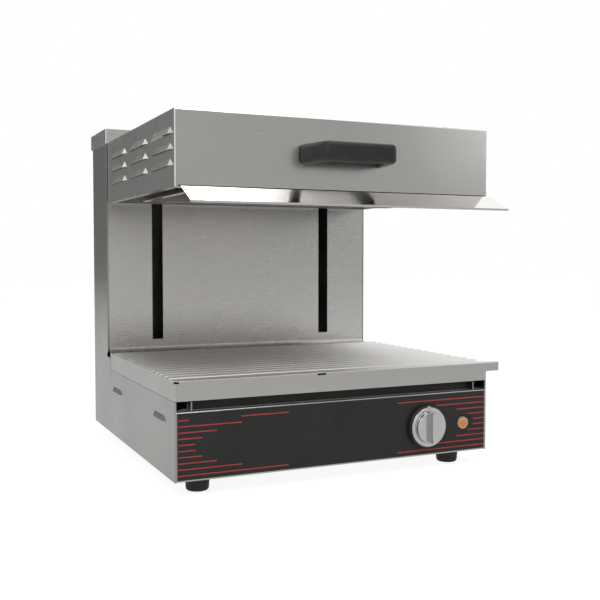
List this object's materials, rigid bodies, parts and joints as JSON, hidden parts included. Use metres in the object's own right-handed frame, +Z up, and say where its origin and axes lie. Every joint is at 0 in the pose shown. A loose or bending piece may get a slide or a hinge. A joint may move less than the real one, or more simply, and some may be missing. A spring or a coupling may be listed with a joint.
{
  "type": "cheese melter",
  "caption": "Countertop cheese melter: a counterbalanced heating hood slides down a slotted rear column over a ribbed steel plate, with a drip tray, control knob and pilot lamp",
  "frame": {"origin": "centre of the underside of the base, between the four feet", "axes": "+X to the right seen from the front, +Y to the back, +Z up; the feet reach below the origin"},
  "size_m": [0.6332, 0.683, 0.6465],
  "materials": {
    "panel_steel": "brushed",
    "hood_steel": "brushed",
    "plate_steel": "brushed",
    "tray_steel": "dark enamel",
    "inner_steel": "galvanised",
    "reflector_steel": "bright",
    "element_tube": "heat darkened",
    "terminal_ceramic": "unglazed ceramic",
    "fascia_film": "satin film",
    "handle_plastic": "fine grained",
    "fastener_steel": "plated",
    "bush_brass": "machined",
    "rod_chrome": "ground and chromed",
    "weight_iron": "as cast, painted",
    "pulley_plastic": "moulded",
    "rope_steel": "stranded",
    "knob_plastic": "fine grained",
    "knob_metal": "satin",
    "regulator_plastic": "moulded",
    "lamp_plastic": "pale amber, moulded",
    "lamp_orange": "translucent",
    "gland_plastic": "moulded",
    "foot_plastic": "moulded"
  },
  "bodies": {
    "body": {"side_panel_left": "panel_steel", "side_panel_right": "panel_steel", "column_front_panel": "panel_steel", "back_panel": "panel_steel", "column_cap": "panel_steel", "base_pan": "panel_steel", "fascia_panel": "panel_steel", "fascia_overlay": "fascia_film", "tray_deck": "inner_steel", "tray_runner_left": "inner_steel", "tray_runner_right": "inner_steel", "guide_rod_left": "rod_chrome", "guide_rod_right": "rod_chrome", "rod_bar_top": "inner_steel", "rod_bar_bottom": "inner_steel", "pulley_bracket_left": "inner_steel", "pulley_bracket_right": "inner_steel", "pulley_axle_left": "fastener_steel", "pulley_axle_right": "fastener_steel", "ropes_front": "rope_steel", "ropes_back": "rope_steel", "rope_bows": "rope_steel", "regulator_body": "regulator_plastic", "lamp_bezel": "lamp_plastic", "lamp_lens": "lamp_orange", "terminal_block": "regulator_plastic", "cable_gland": "gland_plastic", "foot_studs": "fastener_steel", "foot_front_left": "foot_plastic", "foot_rear_left": "foot_plastic", "foot_front_right": "foot_plastic", "foot_rear_right": "foot_plastic"},
    "hood": {"hood_shell": "hood_steel", "hood_side_left": "hood_steel", "hood_side_right": "hood_steel", "hood_rear": "hood_steel", "hood_visor": "hood_steel", "reflector": "reflector_steel", "reflector_hangers": "inner_steel", "element_support_left": "inner_steel", "element_support_right": "inner_steel", "element_terminals": "terminal_ceramic", "heating_element_1": "element_tube", "heating_element_2": "element_tube", "heating_element_3": "element_tube", "handle": "handle_plastic", "handle_screws": "fastener_steel", "lift_arm_left": "inner_steel", "lift_arm_right": "inner_steel", "carriage_plate": "inner_steel", "bush_left": "bush_brass", "bush_right": "bush_brass"},
    "weight": {"counterweight": "weight_iron"},
    "pulley_l": {"pulley_left": "pulley_plastic"},
    "pulley_r": {"pulley_right": "pulley_plastic"},
    "knob": {"knob_skirt": "knob_plastic", "knob_grip": "knob_metal", "knob_shaft": "fastener_steel"},
    "tray": {"drip_tray": "tray_steel"},
    "plate": {"top_plate": "plate_steel"}
  },
  "joints": [
    {"name": "hood_lift", "type": "slide", "parent": "body", "child": "hood", "axis": [0, 0, 1], "range_m": [-0.25, 0], "deforming": ["ropes_front"]},
    {"name": "weight_slide", "type": "slide", "parent": "body", "child": "weight", "axis": [0, 0, 1], "range_m": [0, 0.25], "deforming": ["ropes_back"]},
    {"name": "pulley_left_spin", "type": "hinge", "parent": "body", "child": "pulley_l", "pos_m": [-0.088, 0.239, 0.556], "axis": [1, 0, 0], "range_deg": [0, 690]},
    {"name": "pulley_right_spin", "type": "hinge", "parent": "body", "child": "pulley_r", "pos_m": [0.088, 0.239, 0.556], "axis": [1, 0, 0], "range_deg": [0, 690]},
    {"name": "knob_turn", "type": "hinge", "parent": "body", "child": "knob", "pos_m": [0.1675, -0.3, 0.054], "axis": [0, 1, 0], "range_deg": [0, 270]},
    {"name": "tray_slide", "type": "slide", "parent": "body", "child": "tray", "axis": [0, -1, 0], "range_m": [0, 0.38]},
    {"name": "plate_slide", "type": "slide", "parent": "body", "child": "plate", "axis": [0, -1, 0], "range_m": [0, 0.22]}
  ],
  "couplings": [
    {"joint": "weight_slide", "follows": "hood_lift", "ratio": -1},
    {"joint": "pulley_left_spin", "follows": "hood_lift", "rad_per_m": -48.077},
    {"joint": "pulley_right_spin", "follows": "hood_lift", "rad_per_m": -48.077}
  ]
}
